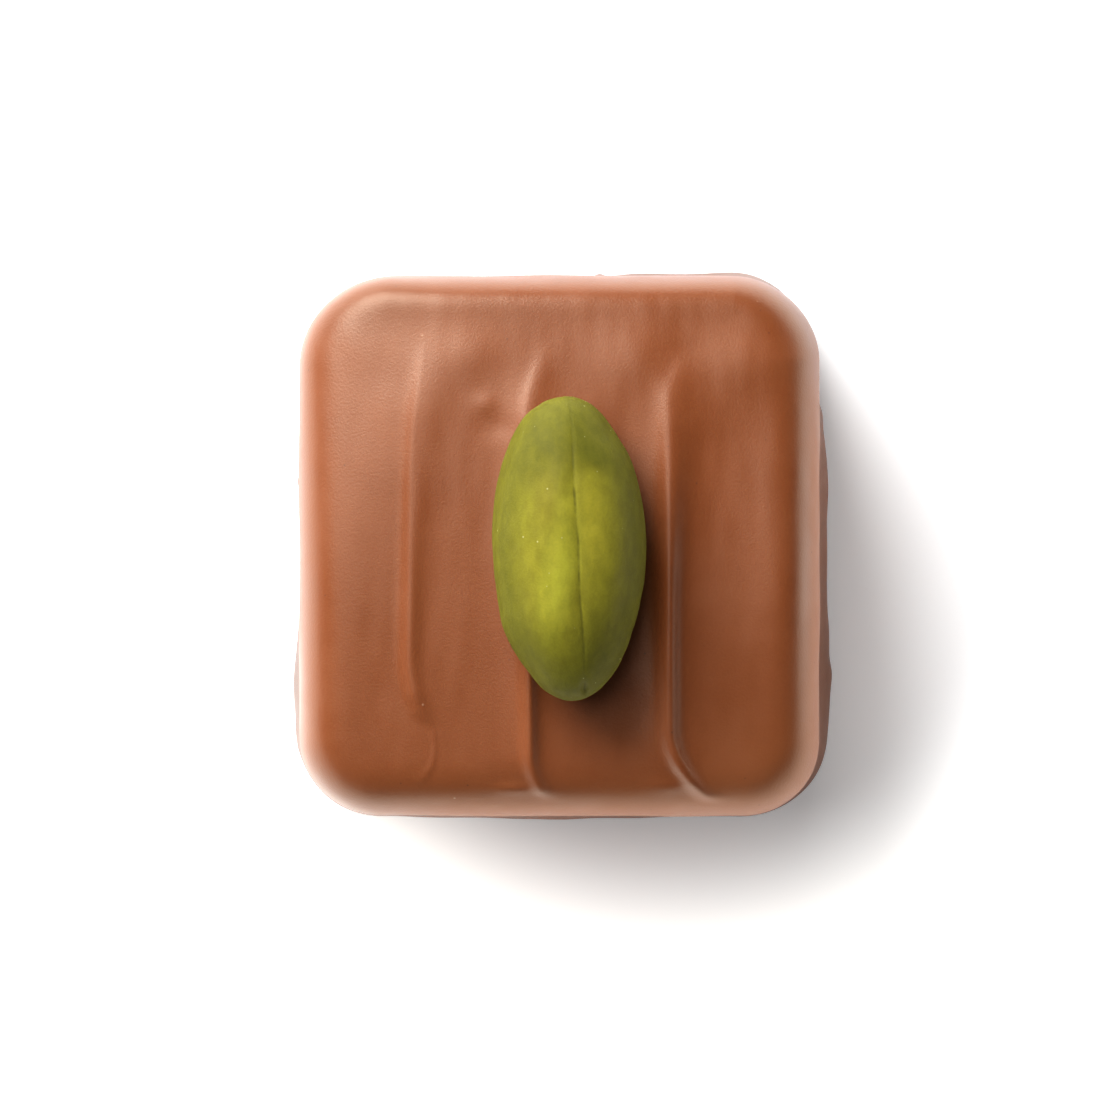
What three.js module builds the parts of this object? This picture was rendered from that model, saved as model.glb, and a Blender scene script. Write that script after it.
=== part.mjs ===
// A square milk-chocolate praline with a peeled pistachio kernel pressed into its top.
// Millimetres, +Z up. The origin is on the flat underside, below the middle of the praline. The kernel and
// the three ridges left by the dipping fork run along Y, and the kernel's blunt end points to +Y.

import * as THREE from "three";
import { mergeVertices } from "three/addons/utils/BufferGeometryUtils.js";

const { degToRad, euclideanModulo, lerp, radToDeg, smoothstep } = THREE.MathUtils;

// Driving dimensions
const plateau = 15.5; // level of the top, before its crown and its ridges
const rim = { x: -0.15, halfWidth: 12.65, halfDepth: 13.15 }; // the outline where shoulder and wall meet
const corners = { upperLeft: 4.6, upperRight: 4.2, lowerLeft: 4.0, lowerRight: 3.7 }; // +Y is up, +X is right
const shoulder = { width: 3.0, height: 5.1, power: 3.5, dome: 0.25 }; // how far in and down it reaches
const softer = { side: -1.0, corner: 0.5 }; // what its width gains along the +Y side and at the +X +Y corner
const crown = { dropX: 0.9, dropY: 1.1, power: 2.1 }; // how far the top falls towards its edges
const wall = { draft: 0.1, wave: 0.05, waves: 7 }; // the wall leans out as it goes down, and waves a little
const foot = { spread: 0.18, height: 2.4, uneven: 0.7, waves: 3, fade: 1.5 }; // the skirt round the base
const soleRound = 0.35; // the rounded edge of the underside

// Where the foot stands out or in, by direction from the middle in degrees
const footBulges = [
  { at: 0, width: 38, out: 0.42 },
  { at: 37, width: 9, out: -0.5 },
  { at: 62, width: 14, out: 0.14 },
  { at: 105, width: 30, out: -0.06 },
  { at: 170, width: 26, out: -0.08 },
  { at: 208, width: 14, out: 0.25 },
  { at: 243, width: 9, out: 0.12 },
  { at: 275, width: 26, out: 0.12 },
  { at: 330, width: 14, out: 0.34 },
];

// The three ridges of the top. Each crest runs down Y from its top to its bottom, leans a little and bends
// to +X at both ends. Its left flank has a fine and a wide part, and these and the right flank's width change
// from the low end to the high end. A wide part below 0 leaves a faint hollow beside the fine one.
const ridges = [
  {
    x: -7.27, lean: 0.015, fineLow: 0.28, fineHigh: 0.18, fineReach: 0.42,
    wideLow: -0.03, wideHigh: 0.18, wideReach: 1.9, rightLow: 0.62, rightHigh: 2.2,
    top: 11.2, topRun: 8.7, topBend: 0.9, topFade: 5.0,
    bottom: -8.9, bottomRun: 3.6, bottomBend: 1.1, bottomFade: 2.0,
  },
  {
    x: -1.7, lean: -0.015, fineLow: 0.3, fineHigh: 0.15, fineReach: 0.42,
    wideLow: 0.2, wideHigh: 0.24, wideReach: 1.3, rightLow: 0.45, rightHigh: 1.3,
    top: 10.6, topRun: 5.4, topBend: 1.9, topFade: 5.6,
    bottom: -12.4, bottomRun: 2.4, bottomBend: 1.0, bottomFade: 0.7,
  },
  {
    x: 5.17, lean: 0, fineLow: 0.45, fineHigh: 0.16, fineReach: 0.5,
    wideLow: 0.32, wideHigh: 0.26, wideReach: 1.2, rightLow: 0.5, rightHigh: 1.5,
    top: 9.9, topRun: 3.3, topBend: 1.5, topFade: 4.4,
    bottom: -12.5, bottomRun: 3.8, bottomBend: 2.3, bottomFade: 0.5,
  },
];
const ridgeEnds = { wideFade: 2.4, changesFrom: -3, changesTo: 8 };

// Soft swells (rise above 0) and hollows of the top, each with its place and its reach along X and Y
const swells = [
  { x: -9.2, y: 9.4, rise: 0.05, reachX: 1.9, reachY: 1.5 },
  { x: -4.2, y: 9.2, rise: 0.12, reachX: 1.3, reachY: 1.1 },
  { x: 3.4, y: 8.7, rise: 0.2, reachX: 2.0, reachY: 1.9 },
  { x: 8.8, y: 8.8, rise: 0.2, reachX: 1.7, reachY: 1.7 },
  { x: -3.75, y: 6.85, rise: 0.08, reachX: 0.55, reachY: 0.5 },
  { x: -3.2, y: 5.7, rise: -0.07, reachX: 0.8, reachY: 0.6 },
  { x: -2.3, y: -11.75, rise: 0.14, reachX: 1.1, reachY: 0.3 },
  { x: 5.2, y: -11.6, rise: 0.12, reachX: 1.1, reachY: 0.35 },
  { x: -14.0, y: 11.0, rise: -1.2, reachX: 5.5, reachY: 7.5 },
  { x: 13.0, y: -1.5, rise: 0.75, reachX: 3.6, reachY: 11 },
];

// The kernel narrows a little towards its small end, at -Y. The seam of its two halves runs along its top and
// ends in a short notch. Its taper and flats, and where seam and notch lie, are shares of its half sizes.
const kernel = {
  halfWidth: 3.65, halfLength: 7.28, halfHeight: 3.2, x: 0.28, y: -0.13, z: 17.5, turn: degToRad(1.5),
  taper: 0.035, flats: 0.018, flatCount: 5, seamX: 0.12, seamBend: 0.06, seamDepth: 0.13, seamWidth: 0.09,
  notchAt: -0.93, notchLength: 0.05, notchDepth: 0.3,
};
const seat = { gap: 0.3, meniscus: 0.3, reach: 0.55 }; // the hollow under the kernel, and its raised edge

// How finely the surfaces are divided
const columns = 58;
const rows = 36;
const gridFollow = 6; // a higher power keeps more of the top's grid straight
const gather = { pull: 0.5, reach: 0.14 }; // the columns lie closer together at the ridges
const shoulderSteps = 9;
const wallSteps = 6;
const soleSteps = 2;
const kernelAround = 44;
const kernelAlong = 28;

// 1 at no distance, and falling to 0 like a bell
const bell = (distance, reach) => Math.exp(-((distance / reach) ** 2));

// Top relief

// Where a ridge's crest is along X: a leaning line whose two ends curve away by the square of the distance
function crestX(ridge, y) {
  const upper = Math.max(0, (y - ridge.top + ridge.topRun) / ridge.topRun);
  const lower = Math.max(0, (ridge.bottom + ridge.bottomRun - y) / ridge.bottomRun);
  return ridge.x + ridge.lean * y + ridge.topBend * upper ** 2 + ridge.bottomBend * lower ** 2;
}

// A ridge rises to its crest from the left as the sum of a wide and a fine bell, and falls to the right as
// (1 + (side / width)^2)^-1.5: steep beside the crest, and then flattening out. Its wide part fades first.
function ridgeRelief(ridge, x, y) {
  const fromTop = 1 - smoothstep(y, ridge.top - ridge.topFade, ridge.top);
  const fromBottom = smoothstep(y, ridge.bottom, ridge.bottom + ridge.bottomFade);
  const upwards = smoothstep(y, ridgeEnds.changesFrom, ridgeEnds.changesTo);
  const wideFade = smoothstep(y, ridge.bottom, ridge.bottom + ridgeEnds.wideFade);
  const wide = lerp(ridge.wideLow, ridge.wideHigh, upwards) * wideFade;
  const fine = lerp(ridge.fineLow, ridge.fineHigh, upwards);
  const right = lerp(ridge.rightLow, ridge.rightHigh, upwards);
  const side = x - crestX(ridge, Math.min(Math.max(y, ridge.bottom), ridge.top));
  const rising = wide * bell(side, ridge.wideReach) + fine * bell(side, ridge.fineReach);
  const falling = (wide + fine) * (1 + (side / right) ** 2) ** -1.5;
  return (side < 0 ? rising : falling) * fromTop * fromBottom;
}

// The top's level without its relief: a plateau that falls towards its edges
function crownLevel(x, y) {
  const fallX = crown.dropX * Math.abs(x / rim.halfWidth) ** crown.power;
  const fallY = crown.dropY * Math.abs(y / rim.halfDepth) ** crown.power;
  return plateau - fallX - fallY;
}

// What the ridges and the swells add to that level
function relief(x, y) {
  let z = 0;
  for (const ridge of ridges) z += ridgeRelief(ridge, x, y);
  for (const s of swells) z += s.rise * bell(x - s.x, s.reachX) * bell(y - s.y, s.reachY);
  return z;
}

// Kernel

// A place on the top seen from the kernel's own middle, as shares of its half width and half length
function onKernel(x, y) {
  const dx = x - kernel.x;
  const dy = y - kernel.y;
  const along = (dy * Math.cos(kernel.turn) - dx * Math.sin(kernel.turn)) / kernel.halfLength;
  const across = (dx * Math.cos(kernel.turn) + dy * Math.sin(kernel.turn)) / kernel.halfWidth;
  return { along, across: across / (1 + kernel.taper * along) };
}

// Turns a unit direction into a point of the kernel: an ellipsoid that tapers, with faint lengthwise flats,
// a seam groove along its top and a deeper notch at the small end.
function kernelPoint(p) {
  const around = Math.atan2(p.z, p.x);
  const swell = (1 + kernel.taper * p.y) * (1 + kernel.flats * Math.cos(kernel.flatCount * around));
  const seam = bell(p.x - kernel.seamX + kernel.seamBend * p.y, kernel.seamWidth) * (p.z > 0 ? 1 : 0);
  const notch = kernel.notchDepth * bell(p.y - kernel.notchAt, kernel.notchLength);
  const groove = (kernel.seamDepth * (1 - p.y ** 4) + notch) * seam;
  p.set(kernel.halfWidth * p.x * swell, kernel.halfLength * p.y, kernel.halfHeight * p.z * swell - groove);
}

function makeKernel() {
  const sphere = new THREE.SphereGeometry(1, kernelAround, kernelAlong);
  sphere.deleteAttribute("normal");
  sphere.deleteAttribute("uv");
  const geometry = mergeVertices(sphere);
  const position = geometry.getAttribute("position");
  const p = new THREE.Vector3();
  for (let i = 0; i < position.count; i++) {
    kernelPoint(p.fromBufferAttribute(position, i));
    position.setXYZ(i, p.x, p.y, p.z);
  }
  return geometry;
}

// Praline body

// The chocolate's level at a place on the top: it rises a little against the kernel, and passes below it.
function topLevel(x, y) {
  const { along, across } = onKernel(x, y);
  const share = Math.hypot(along, across);
  const contact = Math.sqrt(1 - ((kernel.z - plateau) / kernel.halfHeight) ** 2);
  const outside = Math.max(0, share - contact) * kernel.halfWidth;
  const open = crownLevel(x, y) + relief(x, y) + seat.meniscus * bell(outside, seat.reach);
  if (share >= 1) return open;
  return Math.min(open, kernel.z - kernel.halfHeight * Math.sqrt(1 - share ** 2) - seat.gap);
}

// A point of the rim's rounded rectangle, for a place (u, v) on the edge of the square from -1 to 1, and its
// way out
function rimPoint(u, v) {
  const upright = Math.abs(u) > Math.abs(v);
  const upper = u < 0 ? corners.upperLeft : corners.upperRight;
  const lower = u < 0 ? corners.lowerLeft : corners.lowerRight;
  const corner = v > 0 ? upper : lower;
  const [along, across] = upright ? [rim.halfDepth, rim.halfWidth] : [rim.halfWidth, rim.halfDepth];
  const straight = along - corner;
  const run = Math.abs(upright ? v : u) * (straight + (corner * Math.PI) / 4);
  const angle = Math.max(0, run - straight) / corner;
  const a = (Math.min(run, straight) + corner * Math.sin(angle)) * Math.sign(upright ? v : u);
  const b = (across - corner + corner * Math.cos(angle)) * Math.sign(upright ? u : v);
  const outA = Math.sin(angle) * Math.sign(upright ? v : u);
  const outB = Math.cos(angle) * Math.sign(upright ? u : v);
  const [x, y, outX, outY] = upright ? [b, a, outB, outA] : [a, b, outA, outB];
  return { x: x + rim.x, y, outX, outY };
}

// How far the wall stands out from the rim, at a height and a direction from the middle
function wallOut(z, direction) {
  const down = Math.min(Math.max(1 - z / (plateau - shoulder.height), 0), 1);
  const skirtTop = foot.height + foot.uneven * Math.sin(foot.waves * direction + 1);
  const skirt = 1 - smoothstep(z, skirtTop - foot.fade, skirtTop + foot.fade);
  let spread = foot.spread;
  for (const bulge of footBulges) {
    const apart = euclideanModulo(radToDeg(direction) - bulge.at + 180, 360) - 180;
    spread += bulge.out * bell(apart, bulge.width);
  }
  return wall.draft * down + wall.wave * Math.sin(wall.waves * direction) * down + spread * skirt;
}

// How far the shoulder falls at a share of its way out: a superellipse with a little of a parabola
function shoulderFall(share) {
  const round = 1 - (1 - share ** shoulder.power) ** (1 / shoulder.power);
  return shoulder.height * round + shoulder.dome * share ** 2;
}

// A point of the side, from the top grid's edge (step 0) over the shoulder and down the wall to the underside
function sidePoint(u, v, step) {
  const base = rimPoint(u, v);
  const direction = Math.atan2(base.y, base.x);
  const towardsCorner = base.outX > 0 ? Math.max(0, base.outX * base.outY * 2) : 0;
  const gain = softer.side * Math.max(0, base.outY) ** 2 + softer.corner * towardsCorner;
  const width = shoulder.width + gain;
  let out;
  let z;
  if (step <= shoulderSteps) {
    const share = Math.sin((step / shoulderSteps) * (Math.PI / 2));
    out = -width * (1 - share);
    const p = moved(base, out);
    z = lerp(topLevel(p.x, p.y), crownLevel(p.x, p.y), share ** 3) - shoulderFall(share);
  } else if (step <= shoulderSteps + wallSteps) {
    const down = (step - shoulderSteps) / wallSteps;
    const rimZ = crownLevel(base.x, base.y) - shoulderFall(1);
    z = lerp(rimZ, soleRound, Math.sin((down * Math.PI) / 2));
    out = wallOut(z, direction);
  } else {
    const turn = ((step - shoulderSteps - wallSteps) / soleSteps) * (Math.PI / 2);
    z = soleRound * (1 - Math.sin(turn));
    out = wallOut(soleRound, direction) - soleRound * (1 - Math.cos(turn));
  }
  const p = moved(base, out);
  return new THREE.Vector3(p.x, p.y, z);
}

const moved = (p, out) => ({ x: p.x + p.outX * out, y: p.y + p.outY * out });

// Draws the columns of the top together at the ridges, and leaves the ends where they are
const atRidges = (u) =>
  ridges.reduce((place, ridge) => {
    const apart = u - ridge.x / rim.halfWidth;
    return place - gather.pull * apart * bell(apart, gather.reach) * (1 - u ** 2);
  }, u);

// A place on the top: an even grid in the middle that takes the outline's form towards its edge
function topPoint(u, v) {
  const ring = Math.max(Math.abs(u), Math.abs(v));
  const edge = ring > 0 ? sidePoint(u / ring, v / ring, 0) : new THREE.Vector3();
  const follow = ring ** gridFollow;
  const x = lerp(u * (rim.halfWidth - shoulder.width), edge.x * ring, follow);
  const y = lerp(v * (rim.halfDepth - shoulder.width), edge.y * ring, follow);
  return new THREE.Vector3(x, y, topLevel(x, y));
}

// The body is one closed skin: the grid of the top, then ring below ring from the grid's edge down to the
// underside, which closes at one point in its middle.
function makeBody() {
  const points = [];
  const triangles = [];
  const addFace = (a, b, c, d) => triangles.push(a, b, c, a, c, d);
  const place = (i, j) => [atRidges((2 * i) / columns - 1), (2 * j) / rows - 1];
  const onGrid = (i, j) => j * (columns + 1) + i;

  for (let j = 0; j <= rows; j++) {
    for (let i = 0; i <= columns; i++) points.push(topPoint(...place(i, j)));
  }
  for (let j = 0; j < rows; j++) {
    for (let i = 0; i < columns; i++) {
      addFace(onGrid(i, j), onGrid(i + 1, j), onGrid(i + 1, j + 1), onGrid(i, j + 1));
    }
  }

  const edge = [];
  for (let i = 0; i < columns; i++) edge.push([i, 0]);
  for (let j = 0; j < rows; j++) edge.push([columns, j]);
  for (let i = columns; i > 0; i--) edge.push([i, rows]);
  for (let j = rows; j > 0; j--) edge.push([0, j]);

  let upper = edge.map(([i, j]) => onGrid(i, j));
  for (let step = 1; step <= shoulderSteps + wallSteps + soleSteps; step++) {
    const lower = edge.map(([i, j]) => points.push(sidePoint(...place(i, j), step)) - 1);
    lower.forEach((corner, k) => {
      const next = (k + 1) % lower.length;
      addFace(corner, lower[next], upper[next], upper[k]);
    });
    upper = lower;
  }
  const middle = points.push(new THREE.Vector3()) - 1;
  upper.forEach((corner, k) => triangles.push(middle, upper[(k + 1) % upper.length], corner));

  return new THREE.BufferGeometry().setFromPoints(points).setIndex(triangles);
}

// Assembly

const chocolate = new THREE.MeshStandardMaterial({ color: 0x9a5c3c, roughness: 0.42, metalness: 0 });
const pistachio = new THREE.MeshStandardMaterial({ color: 0x8f8f2e, roughness: 0.5, metalness: 0 });

const bodyMesh = new THREE.Mesh(makeBody(), chocolate);
bodyMesh.name = "chocolate_body";

const kernelMesh = new THREE.Mesh(makeKernel(), pistachio);
kernelMesh.name = "pistachio_kernel";
kernelMesh.position.set(kernel.x, kernel.y, kernel.z);
kernelMesh.rotation.z = kernel.turn;

const praline = new THREE.Group();
praline.add(bodyMesh, kernelMesh);

export default praline;
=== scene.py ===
import math

import bpy
import numpy as np
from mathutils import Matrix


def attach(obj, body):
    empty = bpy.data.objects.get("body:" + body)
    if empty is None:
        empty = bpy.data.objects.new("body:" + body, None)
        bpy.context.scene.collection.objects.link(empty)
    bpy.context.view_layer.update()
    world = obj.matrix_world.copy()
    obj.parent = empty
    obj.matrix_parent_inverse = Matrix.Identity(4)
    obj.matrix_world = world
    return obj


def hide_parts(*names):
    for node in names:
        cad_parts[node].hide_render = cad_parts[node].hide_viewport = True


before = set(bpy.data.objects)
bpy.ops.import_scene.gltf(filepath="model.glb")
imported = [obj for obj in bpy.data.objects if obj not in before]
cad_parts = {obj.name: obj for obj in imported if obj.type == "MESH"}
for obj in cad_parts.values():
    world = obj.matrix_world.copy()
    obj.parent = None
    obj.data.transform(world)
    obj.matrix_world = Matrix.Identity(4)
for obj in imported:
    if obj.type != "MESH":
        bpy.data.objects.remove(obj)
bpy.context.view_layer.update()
print("frame loaded")

metresPerMm = 0.001  # shapes are worked out in millimetres and stored in metres


# Lengths in millimetres as metres, for the shaders, the lamps and the camera
def metres(*lengths):
    return [length * metresPerMm for length in lengths]


# 1 at no distance, and falling to 0 like a bell
def bell(distance, reach):
    return np.exp(-((distance / reach) ** 2))


# 0 below low, 1 above high, and a smooth S between them
def smoothStep(value, low, high):
    share = np.clip((value - low) / (high - low), 0, 1)
    return share * share * (3 - 2 * share)


# a at share 0, b at share 1, and evenly between them
def mix(a, b, share):
    return a + (b - a) * share


# A smooth uneven field, up to about its height either way: the sum of sine waves in seeded directions
def uneven(points, height, wavelength, seed, waves=14):
    rng = np.random.default_rng(seed)
    direction = rng.normal(size=(waves, points.shape[-1]))
    direction /= np.linalg.norm(direction, axis=1, keepdims=True)
    length = wavelength * rng.uniform(0.7, 1.5, waves)
    phase = rng.uniform(0, 2 * np.pi, waves)
    waveSum = np.zeros(points.shape[:-1])
    for k in range(waves):
        waveSum += np.sin(points @ direction[k] * (2 * np.pi / length[k]) + phase[k])
    return height * math.sqrt(0.5 / waves) * waveSum


# The four corners of every cell of a grid of vertex numbers
def cells(numbers):
    return np.stack(
        [numbers[:-1, :-1], numbers[:-1, 1:], numbers[1:, 1:], numbers[1:, :-1]], axis=-1
    ).reshape(-1, 4)


# A mesh object at the origin, smooth all over, from points in millimetres
def makePiece(name, points, faces, material):
    mesh = bpy.data.meshes.new(name)
    mesh.from_pydata(points * metresPerMm, [], faces)
    mesh.update()
    mesh.shade_smooth()
    mesh.materials.append(material)
    piece = bpy.data.objects.new(name, mesh)
    bpy.context.collection.objects.link(piece)
    return piece


# An empty shader group with its inputs and outputs, for an effect that both finishes use
def newGroup(name, inputs, outputs):
    group = bpy.data.node_groups.new(name, "ShaderNodeTree")
    for label, kind, value in inputs:
        socket = group.interface.new_socket(label, in_out="INPUT", socket_type=kind)
        socket.default_value = value
    for label, kind in outputs:
        group.interface.new_socket(label, in_out="OUTPUT", socket_type=kind)
    return group, group.nodes.new("NodeGroupInput"), group.nodes.new("NodeGroupOutput")


# A node with its settings and with the values of its unlinked inputs
def addNode(tree, kind, settings=None, values=None):
    node = tree.nodes.new(kind)
    for key, value in (settings or {}).items():
        setattr(node, key, value)
    for key, value in (values or {}).items():
        node.inputs[key].default_value = value
    return node


# One step of arithmetic on numbers and links
def addMath(tree, operation, a, b=None, c=None, clamp=False):
    node = addNode(tree, "ShaderNodeMath", {"operation": operation, "use_clamp": clamp})
    for index, value in enumerate((a, b, c)):
        if value is None:
            continue
        if isinstance(value, (int, float)):
            node.inputs[index].default_value = value
        else:
            tree.links.new(value, node.inputs[index])
    return node.outputs[0]


# Noise with a number of features per metre, stretched along Y where the stretch is under 1
def addNoise(tree, place, perMetre, stretch=1.0, detail=3.0):
    if stretch != 1.0:
        squeezed = addNode(tree, "ShaderNodeMapping", values={"Scale": (1.0, stretch, 1.0)})
        tree.links.new(place, squeezed.inputs["Vector"])
        place = squeezed.outputs[0]
    values = {"Scale": perMetre, "Detail": detail, "Roughness": 0.55}
    noise = addNode(tree, "ShaderNodeTexNoise", values=values)
    tree.links.new(place, noise.inputs["Vector"])
    return noise.outputs["Fac"]


# From start to end, by a smooth S, as a value passes from low to high
def addRange(tree, value, low, high, start=0.0, end=1.0):
    node = addNode(
        tree,
        "ShaderNodeMapRange",
        {"interpolation_type": "SMOOTHSTEP"},
        {"From Min": low, "From Max": high, "To Min": start, "To Max": end},
    )
    tree.links.new(value, node.inputs["Value"])
    return node.outputs["Result"]


# The first colour where the share is 0 and the second where it is 1
def addMix(tree, share, first, second):
    node = addNode(tree, "ShaderNodeMix", {"data_type": "RGBA"})
    for index, value in ((0, share), (6, first), (7, second)):
        if isinstance(value, (int, float, tuple)):
            node.inputs[index].default_value = value
        else:
            tree.links.new(value, node.inputs[index])
    return node.outputs[2]


# A place's X, Y and Z apart
def addParts(tree, place):
    node = tree.nodes.new("ShaderNodeSeparateXYZ")
    tree.links.new(place, node.inputs[0])
    return node.outputs


# Specks: the middle of each Voronoi cell, kept only in the cells whose own random number is high enough
def makeSpecksGroup():
    group, start, end = newGroup(
        "Specks",
        [
            ("Place", "NodeSocketVector", (0, 0, 0)),
            ("Per metre", "NodeSocketFloat", 1000.0),
            ("Size", "NodeSocketFloat", 0.1),
            ("Left out", "NodeSocketFloat", 0.5),
        ],
        [("Mask", "NodeSocketFloat")],
    )
    spots = addNode(group, "ShaderNodeTexVoronoi", {"feature": "F1"})
    group.links.new(start.outputs["Place"], spots.inputs["Vector"])
    group.links.new(start.outputs["Per metre"], spots.inputs["Scale"])
    near = addMath(group, "DIVIDE", spots.outputs["Distance"], start.outputs["Size"])
    spot = addMath(group, "SUBTRACT", 1.0, near, clamp=True)
    luck = addNode(group, "ShaderNodeSeparateColor")
    group.links.new(spots.outputs["Color"], luck.inputs[0])
    kept = addMath(group, "GREATER_THAN", luck.outputs[0], start.outputs["Left out"])
    group.links.new(addMath(group, "MULTIPLY", spot, kept), end.inputs["Mask"])
    return group


# Mottling: broad cloud and fine grain of one noise each, both 0 to 1
def makeMottleGroup():
    group, start, end = newGroup(
        "Mottle",
        [
            ("Place", "NodeSocketVector", (0, 0, 0)),
            ("Clouds per metre", "NodeSocketFloat", 300.0),
            ("Grains per metre", "NodeSocketFloat", 8000.0),
        ],
        [("Clouds", "NodeSocketFloat"), ("Grain", "NodeSocketFloat")],
    )
    for label, perMetre, detail in (("Clouds", "Clouds per metre", 3.0), ("Grain", "Grains per metre", 2.0)):
        noise = addNode(group, "ShaderNodeTexNoise", values={"Detail": detail, "Roughness": 0.55})
        group.links.new(start.outputs["Place"], noise.inputs["Vector"])
        group.links.new(start.outputs[perMetre], noise.inputs["Scale"])
        group.links.new(addRange(group, noise.outputs["Fac"], 0.3, 0.7), end.inputs[label])
    return group


specksGroup = makeSpecksGroup()
mottleGroup = makeMottleGroup()


# One of the two groups at a place, with its values
def addGroup(tree, group, place, values):
    node = addNode(tree, "ShaderNodeGroup", {"node_tree": group}, values)
    tree.links.new(place, node.inputs["Place"])
    return node


# A material, its node tree, its shader and the place on the object
def newMaterial(name):
    material = bpy.data.materials.new(name)
    material.use_nodes = True
    tree = material.node_tree
    place = tree.nodes.new("ShaderNodeTexCoord").outputs["Object"]
    return material, tree, tree.nodes["Principled BSDF"], place


# Links a height in metres to the shader as bumps of half its strength
def addBumps(tree, shader, height):
    bump = addNode(tree, "ShaderNodeBump", values={"Strength": 0.5, "Distance": 1.0})
    tree.links.new(height, bump.inputs["Height"])
    tree.links.new(bump.outputs[0], shader.inputs["Normal"])


chocolate = {
    "deepColour": (0.162, 0.0388, 0.0098, 1),
    "lightColour": (0.194, 0.0510, 0.0148, 1),
    "evenTone": 0.1,  # 0 is the deep colour, 1 the light one, and the next five are added
    "cloudTone": 0.5,
    "grainTone": 0.3,
    "dragTone": 0.05,
    # painted light lightens the lower part of the top, and painted shade darkens its upper part
    "paintedLightLower": 0.35,
    "paintedShadeUpper": -0.5,
    "paintedLightLowerMm": (-10.0, 3.0),  # where along Y the painted light of the lower part ends, and where the painted shade of the upper part starts
    "paintedShadeUpperMm": (9.5, 12.5),
    "mottle": {"Clouds per metre": 260.0, "Grains per metre": 9000.0},
    "dragPerMetre": 1300.0,  # streaks drawn out along the ridges
    "dragStretch": 0.16,
    "paintedLightEdge": (0.275, 0.0840, 0.0250, 1),  # painted light over the right and lower edges
    "paintedShadeEdge": (0.145, 0.0360, 0.0092, 1),  # painted shade over the upper edge
    "edgeTopMm": (13.4, 15.0),  # the heights between which this painted light and the painted shade below set in
    "edgeEndMm": (9.0, 13.4),  # and between which they get weaker, down to the next value
    "edgeRest": 0.3,
    "paintedLightAcrossMm": (0.0, 9.0),  # where X less Y is above the first, the painted light sets in
    "paintedShadeAlongMm": (9.0, 12.0),
    "paintedShadeWall": (0.086, 0.0262, 0.0085, 1),  # painted shade down the walls, most at -X and +Y
    "wallHeightMm": (3.0, 13.2),
    "wallAcrossMm": (-8.0, 8.0),
    "wallShares": (0.9, 0.2),
    "darkSpeck": (0.085, 0.0250, 0.0110, 1),
    "darkSpecks": {"Per metre": 900.0, "Size": 0.08, "Left out": 0.55},
    "darkShare": 0.7,
    "paleSpeck": (0.480, 0.2600, 0.1500, 1),
    "paleSpecks": {"Per metre": 620.0, "Size": 0.07, "Left out": 0.72},
    "paleShare": 0.55,
    "roughness": (0.35, 0.41),
    "edgeRougher": 0.2,
    "glossTint": (1.0, 0.83, 0.65, 1),
    "subsurface": 0.1,
    "subsurfaceMm": (0.7, 0.3, 0.15),
    "grainHeightMm": 0.007,
    "speckHeightMm": 0.012,
}
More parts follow.
